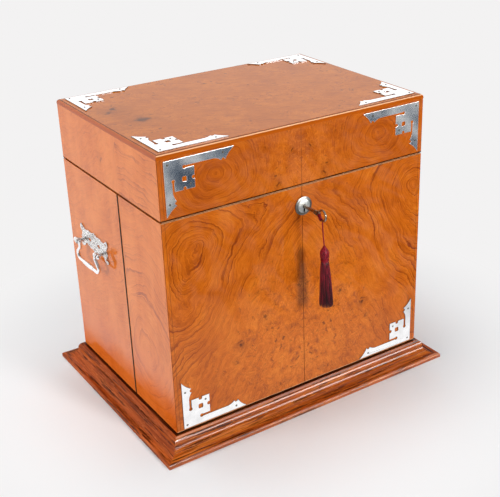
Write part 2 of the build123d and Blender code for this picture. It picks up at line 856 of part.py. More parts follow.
# Tassel: knot, bound head, neck and skirt about one leaning axis
tassel_top = Vector(*cord_points[2])
tassel_down = Vector(sin(radians(tassel_lean)), 0, -cos(radians(tassel_lean)))
tassel_plane = Plane(origin=tassel_top, x_dir=(0, -1, 0), z_dir=Vector(0, -1, 0).cross(tassel_down))
head_top = tassel_knot_length
head_foot = head_top + tassel_head_length
neck_foot = head_foot + tassel_knot_length / 2
skirt_foot = neck_foot + tassel_skirt_length
with BuildPart() as tassel:
    with BuildSketch(tassel_plane):
        with BuildLine():
            Polyline((0, skirt_foot), (0, 0), (cord_diameter / 2, 0))
            ThreePointArc(
                (cord_diameter / 2, 0),
                (tassel_knot_radius, head_top / 2),
                (tassel_knot_radius * 0.8, head_top),
            )
            ThreePointArc(
                (tassel_knot_radius * 0.8, head_top),
                (tassel_head_radius, (head_top + head_foot) / 2 + tassel_head_lift),
                (tassel_neck_radius, head_foot),
            )
            Line((tassel_neck_radius, head_foot), (tassel_neck_radius, neck_foot))
            Line((tassel_neck_radius, neck_foot), (tassel_skirt_top_radius, neck_foot))
            SagittaArc((tassel_skirt_top_radius, neck_foot), (tassel_skirt_radius, skirt_foot), -tassel_bow)
            Line((tassel_skirt_radius, skirt_foot), (0, skirt_foot))
        make_face()
    revolve(axis=Axis(tassel_top, tassel_down))
save(tassel.part, "tassel")

# Side handles: a pierced backplate with two posts, and a bail that hangs in their eyes
handle_y = front + handle_from_front
side_plane = Plane(origin=(-half_width, handle_y, handle_level), x_dir=(0, -1, 0), z_dir=(-1, 0, 0))
plate_points = [
    (0, 19, 0),
    (13, 16, -1.2),
    (25, 14.5, 1.0),
    (38, 20, -1.6),
    (43, 15.5, 1.6),
    (38, 8.5, 1.4),
    (41.5, 2, -1.2),
    (37.5, -3.5, 1.0),
    (42, -9, -1.4),
    (38.5, -13, 1.8),
    (30, -7.5, 1.4),
    (20, -6, -1.6),
    (9, -8, 1.0),
    (0, -11.5, -0.8),
]
plate_holes = [
    (plate_wing_hole_x, plate_wing_hole_rise),
    (-plate_wing_hole_x, plate_wing_hole_rise),
    (plate_wing_hole_x, -plate_wing_hole_drop),
    (-plate_wing_hole_x, -plate_wing_hole_drop),
    (0, plate_middle_hole_rise),
    (0, -plate_middle_hole_drop),
]
post_x = handle_post_spread / 2
post_length = handle_axis_outset - handle_plate_thickness
eye_end = handle_eye_width / 2 + bail_side_play
with BuildPart() as handle_plate:
    with BuildSketch(side_plane):
        with BuildLine():
            for start, end in zip(plate_points, plate_points[1:]):
                SagittaArc(start[:2], end[:2], end[2])
            mirror(about=Plane.YZ)
        make_face()
        with Locations((plate_slot_x, plate_slot_rise), (-plate_slot_x, plate_slot_rise)):
            Ellipse(plate_slot_half_length, plate_slot_half_height, mode=Mode.SUBTRACT)
        with Locations(*plate_holes):
            Circle(plate_hole_radius, mode=Mode.SUBTRACT)
    extrude(amount=handle_plate_thickness)
    with BuildSketch(side_plane.offset(handle_plate_thickness)):
        with Locations((post_x, 0), (-post_x, 0)):
            Circle(handle_post_radius)
    extrude(amount=post_length)
    with Locations(*[side_plane * Location((spot, 0, handle_axis_outset)) for spot in (post_x, -post_x)]):
        Cylinder(handle_eye_radius, handle_eye_width, rotation=(0, 90, 0))
    with Locations(side_plane * Location((0, 0, handle_axis_outset))):
        Cylinder(
            handle_pin_radius + pin_clearance,
            handle_post_spread + 2 * handle_eye_width,
            rotation=(0, 90, 0),
            mode=Mode.SUBTRACT,
        )
save_pair(handle_plate.part, "handle_plate")

arm_x = post_x - eye_end - bail_radius
knob_x = post_x + eye_end + bail_knob_radius
grip_end = bail_radius + 0.3 * (bail_grip_radius - bail_radius)
bail_plane = side_plane.offset(handle_axis_outset)
bail_corners = [
    (arm_x, 0),
    (arm_x, -0.3 * bail_drop),
    (bail_half_width, -0.7 * bail_drop),
    (0.84 * bail_half_width, -bail_drop),
]
bail_corners += [(-out, up) for out, up in reversed(bail_corners)]
with BuildPart() as handle_bail:
    with BuildLine(bail_plane) as bail_path:
        FilletPolyline(*bail_corners, radius=bail_bend_radius)
    with BuildSketch(Plane(origin=bail_path.line @ 0, z_dir=bail_path.line % 0)):
        Circle(bail_radius)
    sweep()
    with Locations(*[bail_plane * Location((spot, 0, 0)) for spot in (arm_x, -arm_x)]):
        Sphere(bail_radius, rotation=(0, 90, 0))
    with Locations(*[bail_plane * Location((side * (arm_x + knob_x) / 2, 0, 0)) for side in (1, -1)]):
        Cylinder(handle_pin_radius, knob_x - arm_x, rotation=(0, 90, 0))
    with Locations(*[bail_plane * Location((spot, 0, 0)) for spot in (knob_x, -knob_x)]):
        Sphere(bail_knob_radius, rotation=(0, 90, 0))
    grip_middle = bail_plane.from_local_coords((0, -bail_drop, 0))
    grip_plane = Plane(origin=grip_middle, x_dir=(0, -1, 0), z_dir=(-1, 0, 0))
    with BuildSketch(grip_plane):
        with BuildLine():
            Line((-bail_grip_length / 2, 0), (bail_grip_length / 2, 0))
            Line((bail_grip_length / 2, 0), (bail_grip_length / 2, grip_end))
            ThreePointArc(
                (bail_grip_length / 2, grip_end),
                (0, bail_grip_radius),
                (-bail_grip_length / 2, grip_end),
            )
            Line((-bail_grip_length / 2, grip_end), (-bail_grip_length / 2, 0))
        make_face()
    revolve(axis=Axis(grip_plane.origin, (0, 1, 0)))
save_pair(handle_bail.part, "handle_bail")

# Platform and rail that hold the decanters in the rear part of the case
fitting_x = (-inner_x + fitting_clearance, inner_x - fitting_clearance)
fitting_y = (case_start + rail_setback, inner_back - fitting_clearance)
decanter_y = (case_start + inner_back) / 2
decanter_side = (2 * (inner_x - decanter_end_gap) - 2 * decanter_gap) / 3
decanter_pitch = decanter_side + decanter_gap
decanter_spots = [(step * decanter_pitch, decanter_y) for step in (-1, 0, 1)]
well_side = decanter_side + 2 * well_clearance
well_floor = foot + platform_height - well_depth
with BuildPart() as decanter_platform:
    block(fitting_x, fitting_y, (foot, foot + platform_height))
    with BuildSketch(Plane.XY.offset(well_floor)):
        with Locations(*decanter_spots):
            Rectangle(well_side, well_side)
    extrude(amount=well_depth, mode=Mode.SUBTRACT)
save(decanter_platform.part, "decanter_platform")
with BuildPart() as decanter_rail:
    block(fitting_x, fitting_y, (rail_level, rail_level + rail_thickness))
    with BuildSketch(Plane.XY.offset(rail_level)):
        with Locations(*decanter_spots):
            Rectangle(well_side, well_side)
    extrude(amount=rail_thickness, mode=Mode.SUBTRACT)
save(decanter_rail.part, "decanter_rail")

# Square decanters: a chamfered square body cut by a turned shoulder, neck and lip
decanter_height = decanter_body_height + decanter_shoulder_height + decanter_neck_height
shoulder_top = decanter_body_height + decanter_shoulder_height
corner_reach = decanter_side / sqrt(2)


def square_bottle(side, bottom, shoulder_foot, reach, neck_radius, top):
    """A chamfered square prism cut by a turned shoulder and neck."""
    with BuildPart() as bottle:
        with BuildSketch(Plane.XY.offset(bottom)) as plan:
            Rectangle(side, side)
            chamfer(plan.vertices(), decanter_chamfer)
        extrude(amount=top - bottom)
        with BuildSketch(Plane.XZ):
            with BuildLine():
                Polyline((0, top), (0, bottom), (reach, bottom), (reach, shoulder_foot))
                SagittaArc((reach, shoulder_foot), (neck_radius, shoulder_top), decanter_shoulder_bow)
                Polyline((neck_radius, shoulder_top), (neck_radius, top), (0, top))
            make_face()
        revolve(axis=Axis.Z, mode=Mode.INTERSECT)
    return bottle.part


with BuildPart() as decanter_shape:
    add(
        square_bottle(
            decanter_side, 0, decanter_body_height, corner_reach, decanter_neck_radius, decanter_height
        )
    )
    with Locations((0, 0, decanter_height)):
        Cylinder(
            decanter_lip_radius,
            decanter_lip_height,
            align=(Align.CENTER, Align.CENTER, Align.MAX),
        )
    add(
        square_bottle(
            decanter_side - 2 * decanter_wall,
            decanter_base,
            decanter_body_height - decanter_wall,
            corner_reach - decanter_wall,
            decanter_bore_radius,
            decanter_height,
        ),
        mode=Mode.SUBTRACT,
    )

# Stoppers: a ground plug, a collar and a faceted head
with BuildPart() as stopper_shape:
    with Locations((0, 0, -stopper_plug_length)):
        Cylinder(
            decanter_bore_radius - stopper_clearance,
            stopper_plug_length,
            align=(Align.CENTER, Align.CENTER, Align.MIN),
        )
    Cylinder(
        stopper_collar_radius,
        stopper_collar_height,
        align=(Align.CENTER, Align.CENTER, Align.MIN),
    )
    head_levels = ((0, 0.5), (0.3, 1), (0.62, 1), (1, 0.4))
    for rise, share in head_levels:
        with BuildSketch(Plane.XY.offset(stopper_collar_height + rise * stopper_head_height)):
            RegularPolygon(share * stopper_head_radius, stopper_flats)
    loft(ruled=True)

for spot, label in zip(decanter_spots, ("left", "middle", "right")):
    with BuildPart() as decanter:
        with Locations((*spot, well_floor)):
            add(decanter_shape.part)
    save(decanter.part, f"{label}_decanter")
    with BuildPart() as stopper:
        with Locations((*spot, well_floor + decanter_height)):
            add(stopper_shape.part)
    save(stopper.part, f"{label}_stopper")
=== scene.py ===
import math
import random
import bpy
import bmesh
from mathutils import Matrix, Vector


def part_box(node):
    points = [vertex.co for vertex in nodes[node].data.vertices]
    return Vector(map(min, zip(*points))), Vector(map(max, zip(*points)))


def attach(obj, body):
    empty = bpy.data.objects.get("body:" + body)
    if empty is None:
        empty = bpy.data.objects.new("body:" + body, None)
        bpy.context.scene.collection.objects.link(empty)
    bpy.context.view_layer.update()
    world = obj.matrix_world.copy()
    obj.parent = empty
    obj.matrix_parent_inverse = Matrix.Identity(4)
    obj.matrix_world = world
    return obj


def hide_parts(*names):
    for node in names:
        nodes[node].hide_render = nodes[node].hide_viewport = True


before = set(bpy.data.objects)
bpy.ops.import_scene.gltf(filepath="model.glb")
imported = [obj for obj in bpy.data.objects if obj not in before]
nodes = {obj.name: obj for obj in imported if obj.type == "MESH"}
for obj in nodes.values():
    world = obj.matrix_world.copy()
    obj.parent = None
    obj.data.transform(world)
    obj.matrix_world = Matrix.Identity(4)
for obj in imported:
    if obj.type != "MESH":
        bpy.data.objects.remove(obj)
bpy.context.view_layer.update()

scene = bpy.context.scene
rng = random.Random(7)

# Metres in a millimetre; the body's half width and half depth and the lock's height, in millimetres
mm = 0.001
half_width, half_depth = 200.0, 142.0
lock_height = 292.0


# Camera: fitted to the photograph's corners, with a lens shift of about half of what the fit asks for
def make_camera():
    azimuth, elevation, roll = (math.radians(a) for a in (34.381, 24.388, -1.107))
    forward = Vector((
        math.sin(azimuth) * math.cos(elevation),
        math.cos(azimuth) * math.cos(elevation),
        -math.sin(elevation),
    ))
    level = Vector((math.cos(azimuth), -math.sin(azimuth), 0))
    above = level.cross(forward)
    right = math.cos(roll) * level + math.sin(roll) * above
    up = math.cos(roll) * above - math.sin(roll) * level
    photo_width, photo_height, sensor = 500, 497, 36
    focal_pixels, centre_column, centre_row = 981.8, 292.1, 234
    data = bpy.data.cameras.new("camera")
    data.lens = focal_pixels / photo_width * sensor
    data.sensor_width = sensor
    data.shift_x = (photo_width / 2 - centre_column) / photo_width
    data.shift_y = (centre_row - photo_height / 2) / photo_width
    data.clip_start, data.clip_end = 0.05, 40
    camera = bpy.data.objects.new("camera", data)
    scene.collection.objects.link(camera)
    place = (-0.6612, -1.0847, 0.7752)
    turn = Matrix((right, up, -forward)).transposed()
    camera.matrix_world = Matrix.Translation(place) @ turn.to_4x4()
    scene.camera = camera


make_camera()
scene.view_settings.view_transform = "Standard"


# Small helpers that write node formulas
def feed(tree, entry, value):
    """Link a value into a node's input, or set it there as a constant."""
    if isinstance(value, Val):
        tree.links.new(value.socket, entry)
    else:
        entry.default_value = value


class Val:
    """A number in a node tree, held as the socket that gives it."""

    def __init__(self, tree, socket):
        self.tree, self.socket = tree, socket

    def math(self, operation, *others, clamp=False):
        node = self.tree.nodes.new("ShaderNodeMath")
        node.operation, node.use_clamp = operation, clamp
        for place, value in enumerate((self, *others)):
            feed(self.tree, node.inputs[place], value)
        return Val(self.tree, node.outputs[0])

    def __add__(self, other):
        return self.math("ADD", other)

    def __sub__(self, other):
        return self.math("SUBTRACT", other)

    def __mul__(self, other):
        return self.math("MULTIPLY", other)

    def __truediv__(self, other):
        return self.math("DIVIDE", other)

    def __pow__(self, other):
        return self.math("POWER", other)

    __radd__ = __add__
    __rmul__ = __mul__

    def __rsub__(self, other):
        return (self * -1) + other

    def abs(self):
        return self.math("ABSOLUTE")

    def fract(self):
        return self.math("FRACT")

    def sqrt(self):
        return self.math("SQRT")

    def exp(self):
        return self.math("EXPONENT")

    def least(self, other):
        return self.math("MINIMUM", other)

    def most(self, other):
        return self.math("MAXIMUM", other)

    def clamp(self):
        return self.math("ADD", 0.0, clamp=True)

    def step(self, low, high):
        """Smooth step from 0 at low to 1 at high."""
        node = self.tree.nodes.new("ShaderNodeMapRange")
        node.interpolation_type = "SMOOTHSTEP"
        self.tree.links.new(self.socket, node.inputs["Value"])
        for name, value in (("From Min", low), ("From Max", high), ("To Min", 0), ("To Max", 1)):
            node.inputs[name].default_value = value
        if high < low:
            node.inputs["From Min"].default_value, node.inputs["From Max"].default_value = high, low
            node.inputs["To Min"].default_value, node.inputs["To Max"].default_value = 1, 0
        return Val(self.tree, node.outputs["Result"])


class Maker:
    """One material's node tree, with its shader and its object coordinates in millimetres."""

    def __init__(self, name):
        self.material = bpy.data.materials.new(name)
        self.material.use_nodes = True
        self.tree = self.material.node_tree
        self.shader = self.tree.nodes["Principled BSDF"]
        coordinates = self.tree.nodes.new("ShaderNodeTexCoord")
        split = self.tree.nodes.new("ShaderNodeSeparateXYZ")
        self.tree.links.new(coordinates.outputs["Object"], split.inputs[0])
        self.x, self.y, self.z = (Val(self.tree, split.outputs[i]) * 1000.0 for i in range(3))

    def set(self, **values):
        for name, value in values.items():
            self.shader.inputs[name.replace("_", " ")].default_value = value

    def vector(self, x, y, z):
        node = self.tree.nodes.new("ShaderNodeCombineXYZ")
        for place, value in enumerate((x, y, z)):
            feed(self.tree, node.inputs[place], value)
        return node.outputs[0]

    def noise(self, x, y, z, scale, detail=2.0, rough=0.5, distort=0.0):
        node = self.tree.nodes.new("ShaderNodeTexNoise")
        self.tree.links.new(self.vector(x, y, z), node.inputs["Vector"])
        settings = {"Scale": scale, "Detail": detail, "Roughness": rough, "Distortion": distort}
        for name, value in settings.items():
            node.inputs[name].default_value = value
        return Val(self.tree, node.outputs[0])

    def cells(self, x, y, z, scale):
        """Distance to the nearest of scattered points."""
        node = self.tree.nodes.new("ShaderNodeTexVoronoi")
        self.tree.links.new(self.vector(x, y, z), node.inputs["Vector"])
        node.inputs["Scale"].default_value = scale
        return Val(self.tree, node.outputs["Distance"])

    def ramp(self, value, *stops):
        node = self.tree.nodes.new("ShaderNodeValToRGB")
        self.tree.links.new(value.socket, node.inputs[0])
        while len(node.color_ramp.elements) < len(stops):
            node.color_ramp.elements.new(0.5)
        for element, (place, colour) in zip(node.color_ramp.elements, stops):
            element.position, element.color = place, (*colour, 1)
        return node.outputs[0]

    def mix(self, share, first, second):
        """Colour mix; the two colours are sockets or plain colours."""
        node = self.tree.nodes.new("ShaderNodeMix")
        node.data_type = "RGBA"
        feed(self.tree, node.inputs[0], share)
        for place, value in ((6, first), (7, second)):
            if isinstance(value, bpy.types.NodeSocket):
                self.tree.links.new(value, node.inputs[place])
            else:
                node.inputs[place].default_value = (*value, 1)
        return node.outputs[2]

    def colour(self, socket):
        self.tree.links.new(socket, self.shader.inputs["Base Color"])

    def painted(self):
        """The colour that the shader has so far."""
        return self.shader.inputs["Base Color"].links[0].from_socket

    def drive(self, name, value):
        """Link a number into one of the shader's inputs."""
        self.tree.links.new(value.socket, self.shader.inputs[name])

    def bump(self, height, distance, strength=1.0):
        node = self.tree.nodes.new("ShaderNodeBump")
        node.inputs["Strength"].default_value = strength
        node.inputs["Distance"].default_value = distance
        self.tree.links.new(height.socket, node.inputs["Height"])
        self.tree.links.new(node.outputs[0], self.shader.inputs["Normal"])


def rgb(*values):
    """Linear colour from a display one."""
    return tuple((v / 255 / 12.92) if v <= 10 else ((v / 255 + 0.055) / 1.055) ** 2.4 for v in values)


def scaled(colour, *factors):
    """A colour with its channels scaled, all by one factor or each by its own."""
    return tuple(c * k for c, k in zip(colour, factors * 3 if len(factors) == 1 else factors))


# Burr oak veneer. u and v run along the face, w is the depth into it
def bump_of(m, u, v, at, size, squeeze=1.0):
    """A soft hill at a place on the face, 1 at its top."""
    return ((((u - at[0]) / size) ** 2.0 + ((v - at[1]) / (size * squeeze)) ** 2.0) * -1.0).exp()


def veneer(m, u, v, w, field, burr, spacing, tones, knots=(), lines=1.0, coat=0.6):
    """Figure whose lines are the level lines of a field, with burr clusters where burr is high."""
    dark, base, light, pip = tones
    wobble = m.noise(u, v, w, 0.013, 2.0, 0.45)
    fine = m.noise(u, v, w, 0.06, 2.0, 0.5)
    jag = m.noise(u, v, w, 0.24, 2.0, 0.6)
    level = field + (wobble - 0.5) * 46.0 + (fine - 0.5) * 8.0 + (jag - 0.5) * 2.2
    # Growth lines: each with its own strength, broken up along its length
    uneven = m.noise(level * 0.11, u * 0.004, v * 0.004, 1.0, 2.0, 0.5)
    along = level / spacing + (uneven - 0.5) * 2.4
    ring = along.fract()
    broad = ring.step(0.1, 0.9) * ring.step(1.0, 0.95)
    ring = ring.step(0.68, 0.9) * ring.step(1.0, 0.95)
    own = m.noise(along.math("FLOOR") * 7.3, u * 0.012, v * 0.012, 1.0, 1.0, 0.5).step(0.38, 0.62)
    thin = (along * 3.3).fract()
    thin = thin.step(0.45, 0.85) * thin.step(1.0, 0.9)
    fade = m.noise(u, v, w, 0.017, 2.0, 0.5).step(0.3, 0.62)
    calm = 1.0 - burr * 0.95
    cloud = m.noise(u, v, w + 40.0, 0.02, 3.0, 0.6)
    grain = m.noise(level * 0.4, u * 0.03, v * 0.03, 1.0, 4.0, 0.7)
    hair = m.noise(level * 0.9, u * 0.07, v * 0.07, 1.0, 3.0, 0.7)
    shade = (cloud - 0.5) * 0.7 + (grain - 0.5) * 0.6 + (hair - 0.5) * 0.75 + 0.5
    colour = m.ramp(shade, (0.12, dark), (0.5, base), (0.9, light))
    # Pores: short flecks that follow the figure
    pores = m.noise(level * 1.3, u * 0.11, v * 0.11, 1.0, 2.0, 0.7).step(0.56, 0.74)
    stroke = (ring * 0.58 + broad * 0.22) * (fade * 0.65 + 0.35) * (own * 0.85 + 0.15) + thin * own * 0.2
    colour = m.mix((stroke * calm * lines).clamp(), colour, scaled(dark, 0.55, 0.34, 0.25))
    colour = m.mix(pores * (calm * 0.3 + 0.16), colour, scaled(dark, 0.66, 0.46, 0.4))
    # Burr: dark lobes, curly pale grain, small dark eyes
    bent_u = u + (m.noise(u, v, w, 0.07, 2.0, 0.5) - 0.5) * 22.0
    bent_v = v + (m.noise(v, w, u, 0.07, 2.0, 0.5) - 0.5) * 22.0
    lobes = m.noise(bent_u, bent_v, w, 0.085, 4.0, 0.65)
    colour = m.mix(burr * lobes.step(0.5, 0.66) * 0.3, colour, light)
    colour = m.mix(burr * lobes.step(0.5, 0.32) * 0.9, colour, pip)
    for scale, width, strength in ((0.1, 0.03, 0.36), (0.19, 0.035, 0.3)):
        curl = (m.noise(bent_u, bent_v, w + 60.0, scale, 3.0, 0.55) - 0.5).abs()
        colour = m.mix(burr * curl.step(width, 0.0) * strength, colour, scaled(light, 1.12))
    eye = m.cells(bent_u, bent_v, w, 0.13)
    rare = m.noise(u, v, w + 90.0, 0.05, 2.0, 0.5).step(0.48, 0.6)
    colour = m.mix(burr * rare * eye.step(0.36, 0.08) * 0.8, colour, scaled(pip, 0.36))
    speck = m.cells(bent_u, bent_v, w, 0.27).step(0.34, 0.12)
    speck = speck * m.noise(u, v, w, 0.05, 2.0, 0.5).step(0.46, 0.58)
    colour = m.mix(burr * speck * 0.5, colour, scaled(pip, 0.46))
    for at, size, depth in knots:
        knot = bump_of(m, bent_u, bent_v, at, size)
        colour = m.mix(knot.step(0.35, 0.95) * depth, colour, scaled(pip, 0.16))
        halo = bump_of(m, bent_u, bent_v, at, size * 2.6)
        colour = m.mix(halo * 0.35 * depth, colour, scaled(pip, 0.6))
    m.colour(colour)
    m.set(Roughness=0.5, Specular_IOR_Level=0.0, Coat_Weight=coat, Coat_Roughness=0.04, Coat_IOR=1.5)
    orange_peel = m.noise(u, v, w, 0.35, 2.0, 0.5)
    m.bump(orange_peel * 0.6 + (1.0 - pores) * 0.25, 0.00006, 0.35)


# Tones of the veneers: dark, base, light, and the burr's dark lobes
orange = (rgb(150, 66, 8), rgb(195, 97, 18), rgb(221, 127, 38), rgb(156, 74, 22))
deep_orange = (rgb(146, 62, 8), rgb(188, 92, 18), rgb(214, 120, 36), rgb(152, 70, 20))
salmon = (rgb(188, 88, 20), rgb(214, 111, 32), rgb(228, 131, 52), rgb(204, 98, 36))
brown = (rgb(158, 78, 10), rgb(184, 99, 16), rgb(203, 118, 32), rgb(164, 84, 24))


def banding(m, band, joint_light_and_shade_colour, foot=None):
    """Thin dark lines at the middle seam and beside the outer corners, a band along the joint that is
    painted highlight on the doors and painted shade on the lid, and a painted highlight along the foot.
    """
    across = m.x.abs()
    corner = across - half_width
    lines = (across.step(0.9, 0.15) * 0.45).most(corner.step(-1.0, -0.5) * 0.8)
    lines = lines.most(corner.step(-6.0, -5.5) * corner.step(-4.6, -5.1) * 0.4)
    colour = m.mix(lines, m.painted(), rgb(56, 20, 6))
    # Painted light along the joint: a highlight on the doors, shade on the lid front
    colour = m.mix(band, colour, joint_light_and_shade_colour)
    # Painted highlight along the bottom arris of the doors
    if foot:
        colour = m.mix(foot, colour, rgb(240, 196, 150))
    m.colour(colour)


def door_figure():
    """Book-matched figure of the two doors: nested loops at the upper outer corners, arcs under the lock."""
    m = Maker("front_veneer_doors")
    u, v, w = m.x.abs(), m.z, m.y * 0.0
    drop = (280.0 - v).most(0.0)
    below = drop * 0.46 + (v - 280.0).most(0.0) * 1.25
    centre = m.x.step(-1.0, 1.0) * 34.0 + 152.0 + drop * 0.28
    ring = (((u - centre) * 1.05) ** 2.0 + below ** 2.0).sqrt()
    field = ring - bump_of(m, u, v, (0, 330), 62.0, 0.8) * 78.0 + bump_of(m, u, v, (120, 120), 70.0) * 5.0
    radial = (((u - 10.0) / 140.0) ** 2.0 + ((v - 104.0) / 126.0) ** 2.0).sqrt()
    ragged = m.noise(u, v, w, 0.03, 3.0, 0.6)
    burr = (radial + (ragged - 0.5) * 1.1).step(1.15, 0.55)
    burr = burr.most(bump_of(m, u, v, (36, 205), 48.0, 0.8) * 0.7)
    knots = (((97, 122), 4.2, 0.95), ((62, 150), 3.0, 0.7), ((108, 100), 2.6, 0.6))
    veneer(m, u, v, w, field, burr, 6.8, orange, knots)
    # Painted highlights: a cream line on the top arris of the door fronts below the lid joint, and a paler
    # line on their bottom arris
    banding(m, m.z.step(318.9, 319.4) * 0.6, rgb(246, 206, 160), m.z.step(29.4, 28.6) * 0.5)
    return m.material


def lid_front_figure():
    """Book-matched figure of the lid's front: an eye each side of the middle and knots beside the joint."""
    m = Maker("front_veneer_lid")
    u, v, w = m.x.abs(), m.z, m.y * 0.0
    ring = ((u - 122.0) ** 2.0 + ((v - 366.0) * 1.35) ** 2.0).sqrt()
    field = ring + bump_of(m, u, v, (0, 372), 40.0, 1.2) * 55.0
    burr = bump_of(m, u, v, (12, 356), 62.0, 1.1) * 0.95
    knots = (((13, 371), 3.2, 0.75), ((40, 342), 2.6, 0.7), ((36, 329), 2.8, 0.7), ((22, 350), 2.0, 0.5))
    veneer(m, u, v, w + 300.0, field, burr, 6.0, deep_orange, knots, 0.8)
    # Painted shade: a dark band along the bottom of the lid front at the joint, with the polish left off
    # there
    joint = m.z.step(323.1, 322.6)
    banding(m, joint * 0.9, rgb(44, 14, 5))
    m.drive("Coat Weight", (1.0 - joint) * 0.6)
    return m.material


def side_figure():
    """Quiet figure of the sides, with wide loops low on the doors."""
    m = Maker("side_veneer")
    u, v, w = m.y, m.z, m.x * 0.25
    near = m.y.step(-20.0, -34.0)
    ring = (((u + 78.0) * 1.1) ** 2.0 + (v - 118.0) ** 2.0).sqrt()
    slope = v * 0.85 + u * 0.35
    field = ring * near + slope * (1.0 - near)
    ragged = m.noise(u, v, w, 0.02, 3.0, 0.6)
    burr = ragged.step(0.5, 0.75) * 0.5
    knots = (((15, 354), 2.6, 0.7), ((22, 357), 2.2, 0.4))
    veneer(m, u, v, w, field, burr, 8.0, salmon, knots, near * 0.75 + 0.25, 0.85)
    drift = m.noise(u, v * 0.3, w, 0.03, 3.0, 0.6).step(0.35, 0.7)
    last = m.mix(drift * 0.3, m.painted(), rgb(250, 150, 74))
    # Painted reflection of the plinth: deeper orange towards the bottom of the sides
    m.colour(m.mix(m.z.step(150.0, 40.0) * 0.4, last, rgb(204, 82, 26)))
    # The polish is thinned at the foot of the sides, where the plinth's reflection is painted into the
    # colour
    foot = (m.z + (m.noise(u, v, w, 0.03, 2.0, 0.5) - 0.5) * 30.0 + u * 0.1).step(38.0, 92.0)
    # Painted shade: a dark band along the bottom of the lid's sides at the joint, with the polish left off
    # there
    joint = m.z.step(321.0, 321.1) * m.z.step(322.8, 322.2)
    m.drive("Coat Weight", (foot * 0.72 + 0.08) * (1.0 - joint))
    m.colour(m.mix(joint * 0.85, m.painted(), rgb(54, 18, 8)))
    return m.material


def top_figure():
    """Cloudy burr of the lid's top with two dark knots near the left end."""
    m = Maker("top_veneer")
    u, v, w = m.x, m.y, m.z * 0.0
    field = u * 0.5 + v * 0.9
    burr = m.noise(u, v, w, 0.02, 3.0, 0.6).step(0.36, 0.6)
    knots = (((-160, 52), 9.5, 0.95), ((-148, -10), 11.5, 0.95), ((-172, 40), 6.0, 0.7))
    veneer(m, u, v, w, field, burr, 9.0, brown, knots, 0.6, 0.55)
    rim = (half_width - u.abs()).least(half_depth - v.abs())
    # The rounded rim: a dark line, at the front also a painted highlight where it turns over, and the colour
    # below
    front = ((v + half_depth) - (half_width - u.abs())).step(0.3, -0.3)
    last = m.mix(rim.step(5.2, 4.6) * 0.5, m.painted(), rgb(176, 96, 56))
    last = m.mix(rim.step(2.4, 2.7) * rim.step(3.7, 3.4) * 0.85, last, rgb(66, 24, 8))
    below = m.mix(front, rgb(176, 88, 46), rgb(178, 84, 16))
    last = m.mix(rim.step(1.8, 1.2), last, below)
    # Painted highlight on the front's rounded arris
    m.colour(m.mix(rim.step(0.8, 1.1) * rim.step(2.1, 1.8) * front * 0.75, last, rgb(248, 206, 160)))
    m.drive("Coat Weight", rim.step(0.4, 3.0).most(1.0 - front) * 0.55)
    return m.material


def back_figure():
    """Plain straight oak of the back."""
    m = Maker("back_veneer")
    u, v, w = m.x, m.z, m.y * 0.0
    field = u * 0.75 + (m.noise(u * 0.35, v * 0.2, w, 0.02, 2.0, 0.5) - 0.5) * 90.0
    burr = m.noise(u, v, w, 0.015, 2.0, 0.5).step(0.6, 0.8) * 0.5
    veneer(m, u, v, w, field, burr, 7.0, salmon, (), 0.7)
    return m.material


def plain_oak(name, along, tones, coat=1.0, streak=1.0, cove=None, case_foot_shade=False):
    """Straight-grained oak: dark pore streaks along the grain and pale rays."""
    m = Maker(name)
    a, b, c = {"x": (m.x, m.y, m.z), "y": (m.y, m.x, m.z), "z": (m.z, m.x, m.y)}[along]
    dark, base, light = tones
    broad = m.noise(a * 0.06, b, c, 0.09, 3.0, 0.6)
    band = m.noise(a * 0.035, b, c, 0.3, 3.0, 0.65)
    colour = m.ramp((broad - 0.5) * 0.8 + (band - 0.5) * 0.9 + 0.5, (0.15, dark), (0.5, base), (0.88, light))
    pore = m.noise(a * 0.03, b, c, 0.8, 3.0, 0.7).step(0.52, 0.64)
    patch = m.noise(a * 0.05, b, c, 0.3, 3.0, 0.65).step(0.52, 0.6)
    ink = tuple(k * 0.2 for k in dark)
    colour = m.mix((pore * 0.55 + patch * 0.75).clamp() * streak, colour, ink)
    fleck = m.noise(a * 0.2, b, c, 0.5, 2.0, 0.6).step(0.6, 0.7)
    colour = m.mix(fleck * 0.45, colour, light)
    if case_foot_shade:
        # Painted shade on the ledge along the foot of the case, where the case meets the plinth
        gap = (m.x.abs() - half_width).most(m.y.abs() - half_depth)
        colour = m.mix(gap.step(3.8, 1.6) * 0.8, colour, rgb(34, 12, 6))
    m.colour(colour)
    m.set(Roughness=0.5, Specular_IOR_Level=0.0, Coat_Weight=coat, Coat_Roughness=0.08, Coat_IOR=1.45)
    if cove:
        # The polish is thin in the hollow of the moulding
        across, hollow, edge = cove
        out = getattr(m, across).abs()
        thin = out.step(hollow, hollow + 1.0) * (1.0 - out.step(edge - 1.0, edge))
        m.drive("Coat Weight", (1.0 - thin) * (coat * 0.85) + 0.15 * coat)
    m.bump(1.0 - pore, 0.00012, 0.5)
    return m.material


# Tones of the plain oaks: dark, base, light
moulding = (rgb(96, 34, 8), rgb(178, 84, 20), rgb(226, 134, 54))
dark_moulding = (rgb(84, 28, 8), rgb(176, 80, 28), rgb(216, 118, 58))
fitting = (rgb(92, 50, 22), rgb(132, 80, 40), rgb(160, 104, 60))
pine = (rgb(150, 108, 66), rgb(186, 142, 92), rgb(206, 166, 118))


def plated(name, tint, rough=0.09, wear=1.0, dents=0.16):
    """Polished plate: fine scratches, soft dents and slightly dull patches."""
    m = Maker(name)
    patch = m.noise(m.x, m.y, m.z, 0.06, 3.0, 0.6)
    scratch = m.noise(m.x * 0.2, m.y, m.z + m.x * 0.3, 1.6, 2.0, 0.6)
    m.colour(m.ramp(patch, (0.3, tuple(c * 0.86 for c in tint)), (0.62, tint)))
    m.drive("Roughness", ((patch - 0.5) * 0.12 + (scratch - 0.5) * 0.08) * wear + rough)
    m.set(Metallic=1.0)
    dent = m.noise(m.x, m.y, m.z, dents, 2.0, 0.5)
    m.bump(dent * 0.8 + scratch * 0.08, 0.00022, 0.45 * wear)
    return m.material


